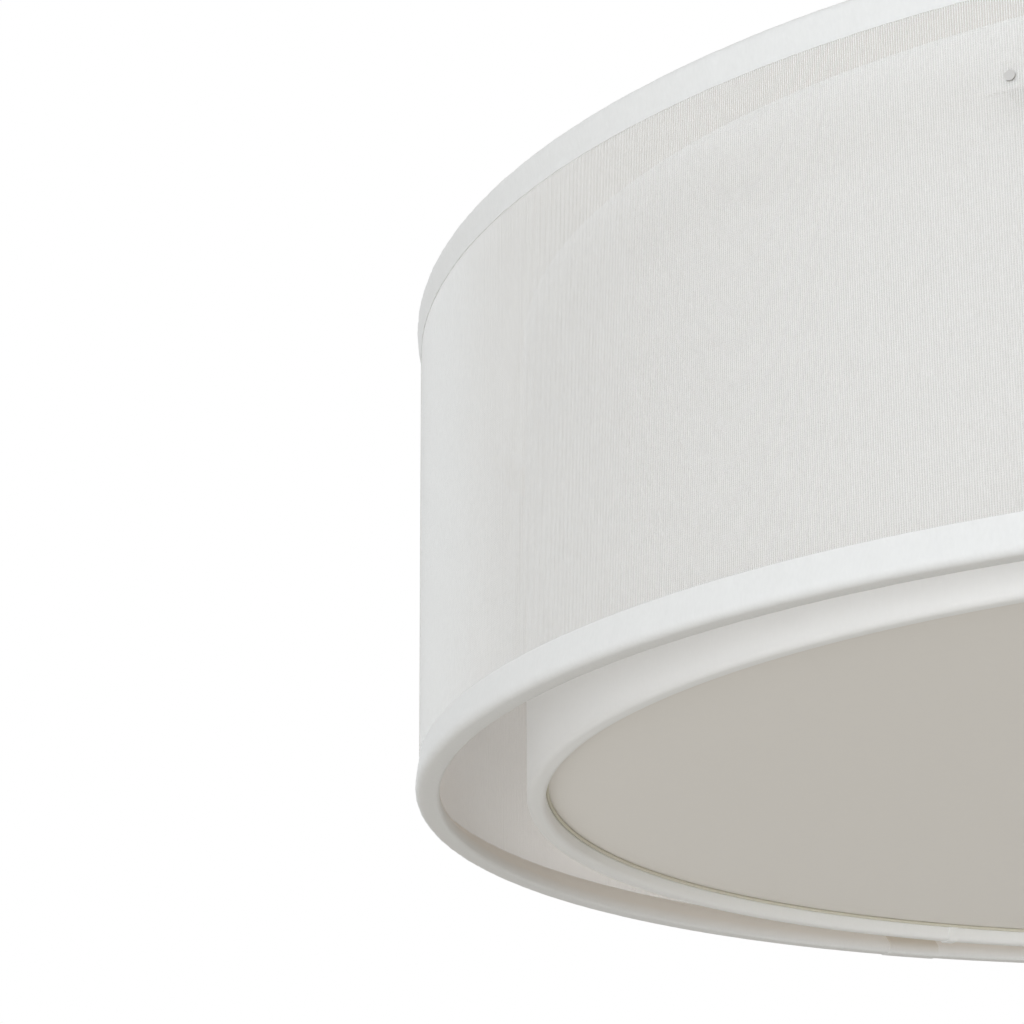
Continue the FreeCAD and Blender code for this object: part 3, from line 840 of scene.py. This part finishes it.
def woven(name, dark, light, bump, inside=None):
    """Cloth with threads from dark to light, and painted warm shade inside the drum where a colour for it is
    given.
    """
    finish, tree, surface = new_finish(name, light, CLOTH_ROUGHNESS, specular=CLOTH_SPECULAR)
    weave = place_group(tree, threads)
    colour = shade_between(tree, weave.outputs["Slub"], dark, light)
    if inside:
        middle_r = sheer_r - SHEER_T / 2
        side = place_group(tree, inside_painted_shade, Face_Radius=middle_r, Edge_Low=base_z, Edge_High=top_z)
        colour = shade_between(tree, side.outputs["Inside"], colour, inside)
    link(tree, colour, surface.inputs["Base Color"])
    raise_by(tree, surface, weave.outputs["Slub"], bump, BUMP_STRENGTH)
    finishes[name] = finish
    return tree, surface, weave


# %% Sheer, hem and inner cloth
# The inside colours are painted warm light and shade: a warmer tint on the sheer and its threads, and a
# darker brown on the tape and its overlap, for the dim warm light inside the drum.
SHEER_INSIDE_PAINTED_WARMTH = (0.95, 0.895, 0.85)
THREADS_INSIDE_PAINTED_WARMTH = (0.96, 0.905, 0.86)
TAPE_DARK = (0.78, 0.78, 0.775)
TAPE_LIGHT = (0.84, 0.84, 0.835)
TAPE_INSIDE_PAINTED_SHADE = (0.82, 0.76, 0.69)
OVERLAP_INSIDE_PAINTED_SHADE = (0.70, 0.62, 0.52)
SHEER_BUMP = 0.00002
TAPE_BUMP = 0.0002
CLOTH_BUMP = 0.00005
CROSS_SHARE = 0.4
ALPHA_LOW = 0.12
ALPHA_HIGH = 0.22

tree, surface, weave = woven("sheer", (0.88, 0.88, 0.875), (0.90, 0.90, 0.895), SHEER_BUMP, SHEER_INSIDE_PAINTED_WARMTH)
part_cross = math_node(tree, "MULTIPLY", weave.outputs["Cross"], CROSS_SHARE)
grain = math_node(tree, "ADD", part_cross, weave.outputs["Slub"])
link(tree, between(tree, grain, ALPHA_LOW, ALPHA_HIGH), surface.inputs["Alpha"])
woven("sheer_threads", (0.85, 0.85, 0.845), (0.88, 0.88, 0.875), SHEER_BUMP, THREADS_INSIDE_PAINTED_WARMTH)
woven("hem_tape", TAPE_DARK, TAPE_LIGHT, TAPE_BUMP, TAPE_INSIDE_PAINTED_SHADE)
woven("hem_overlap_painted_shade", TAPE_DARK, TAPE_LIGHT, TAPE_BUMP, OVERLAP_INSIDE_PAINTED_SHADE)
woven("shade_cloth", (0.89, 0.89, 0.885), (0.92, 0.92, 0.915), CLOTH_BUMP)
# The bead's dark olive colour is painted shade for the crevice between the disc and the fold.
woven("crevice_painted_shade", (0.66, 0.63, 0.53), (0.70, 0.67, 0.57), CLOTH_BUMP)
print("cloth", list(finishes))

# %% [markdown]
# ### Plastic, paint and glass
#
# The disc is satin opal acrylic, the liner matt styrene, the lampholders moulded plastic and the rings and
# arms powder-coated. They differ in shine and in the size of their speckle.

# %% Speckled finishes
SPECKLE_SHINE = 0.06
GLASS_TRANSMISSION = 0.25


def speckled(slot, colour, spread, roughness, cells, bump, specular=0.5):
    """A pale moulded or painted finish with a fine speckle in its colour, shine and surface."""
    finish, tree, surface = new_finish(slot, colour, roughness, specular=specular)
    grain = place_group(tree, speckle, Cells=cells).outputs["Grain"]
    dark = [c * (1 - spread) for c in colour]
    light = [c * (1 + spread) for c in colour]
    link(tree, shade_between(tree, grain, dark, light), surface.inputs["Base Color"])
    shine = between(tree, grain, roughness - SPECKLE_SHINE, roughness + SPECKLE_SHINE)
    link(tree, shine, surface.inputs["Roughness"])
    raise_by(tree, surface, grain, bump, BUMP_STRENGTH)
    finishes[slot] = finish
    return surface


speckled("opal_disc", (0.81, 0.78, 0.735), spread=0.012, roughness=0.55, cells=240, bump=2e-5, specular=0.3)
speckled("shade_liner", (0.82, 0.82, 0.80), spread=0.02, roughness=0.7, cells=900, bump=3e-5, specular=0.3)
speckled("white_steel", (0.89, 0.89, 0.88), spread=0.03, roughness=0.45, cells=1500, bump=5e-5)
speckled("lampholder_body", (0.79, 0.78, 0.75), spread=0.03, roughness=0.5, cells=1200, bump=4e-5)
speckled("green_screw", (0.07, 0.26, 0.10), spread=0.10, roughness=0.4, cells=1500, bump=3e-5)
glass = speckled("bulb_glass", (0.88, 0.88, 0.86), spread=0.015, roughness=0.35, cells=500, bump=2e-5)
glass.inputs["Transmission Weight"].default_value = GLASS_TRANSMISSION
print("speckled", len(finishes))

# %% [markdown]
# ### Plated metal
#
# The stem, ball and canopy are satin nickel, turned on a lathe before plating, so the fine lines go round
# them. The hidden fixings are dull zinc, the screw shells brass and the bulb caps aluminium.

# %% Turned finishes
LINE_SHINE = 0.07
LINE_STRENGTH = 0.25


def plated(slot, colour, spread, roughness, cells, bump):
    """Metal with turned lines in its colour, shine and surface."""
    finish, tree, surface = new_finish(slot, colour, roughness, metallic=1.0)
    grain = place_group(tree, lines, Cells=cells).outputs["Grain"]
    dark = [c * (1 - spread) for c in colour]
    light = [c * (1 + spread) for c in colour]
    link(tree, shade_between(tree, grain, dark, light), surface.inputs["Base Color"])
    shine = between(tree, grain, roughness - LINE_SHINE, roughness + LINE_SHINE)
    link(tree, shine, surface.inputs["Roughness"])
    raise_by(tree, surface, grain, bump, LINE_STRENGTH)
    finishes[slot] = finish


plated("satin_nickel", (0.63, 0.61, 0.57), spread=0.06, roughness=0.32, cells=110, bump=2e-5)
plated("zinc_steel", (0.50, 0.485, 0.465), spread=0.10, roughness=0.60, cells=160, bump=3e-5)
plated("lamp_brass", (0.72, 0.55, 0.28), spread=0.08, roughness=0.30, cells=160, bump=2e-5)
plated("bulb_cap_metal", (0.74, 0.74, 0.74), spread=0.06, roughness=0.28, cells=160, bump=2e-5)
print("finishes", len(finishes))

# %% [markdown]
# ## Dress the frame
#
# Every imported node takes the finish of its slot in the record. The cloth pieces ride on the fixture and
# stand in for the plain cloth solids.

# %% Finishes on the imported nodes
for part in frame["record"]["subparts"]:
    node = frame["nodes"][part["node"]]
    node.data.materials.clear()
    node.data.materials.append(finishes[part["material_slot"]])

# %% Cloth on the fixture
CLOTH_PIECES = (
    (sheer_wall, "sheer", "sheer", ["outer_cloth"]),
    (upright_threads, "sheer_threads", "sheer", []),
    (sheer_seam, "sheer", "sheer", []),
    (top_hem, "hem_tape", "hem_tape", ["outer_top_hem"]),
    (bottom_hem, "hem_tape", "hem_tape", ["outer_bottom_hem"]),
    (inner_wall, "shade_cloth", "shade_cloth", ["inner_cloth"]),
    (disc_shade_bead, "crevice_painted_shade", "shade_cloth", []),
    *((piece, "hem_overlap_painted_shade", "hem_tape", []) for piece in overlaps[:2]),
    *((piece, "shade_cloth", "shade_cloth", []) for piece in overlaps[2:]),
)

for piece, finish, slot, nodes in CLOTH_PIECES:
    piece.data.materials.clear()
    piece.data.materials.append(finishes[finish])
    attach(piece, "fixture")
    if nodes:
        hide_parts(*nodes)
print("cloth pieces", len(CLOTH_PIECES))
